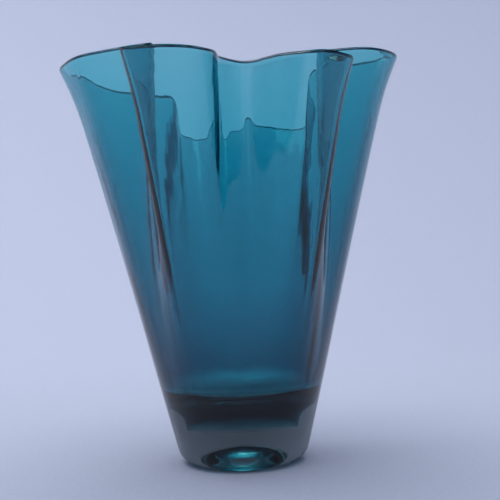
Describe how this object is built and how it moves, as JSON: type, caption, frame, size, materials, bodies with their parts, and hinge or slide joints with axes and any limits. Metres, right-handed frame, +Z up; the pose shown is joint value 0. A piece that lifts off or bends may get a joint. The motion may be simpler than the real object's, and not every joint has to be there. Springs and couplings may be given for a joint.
{
  "type": "handkerchief vase",
  "caption": "Tall flared vase of teal cased glass, with a rim folded into soft petals and a thick clear base, for water and cut flowers.",
  "frame": {"origin": "middle of the level that the vase stands on, in the centre of the ground ring of its foot and of its outline seen from above", "axes": "+Z up from the foot through the open mouth, -Y towards the fold between the two front petals, +X to the right petal"},
  "size_m": [0.2147, 0.2307, 0.2545],
  "materials": {
    "glass": "clear gloss"
  },
  "bodies": {
    "root": {"vase": "glass"}
  },
  "joints": []
}
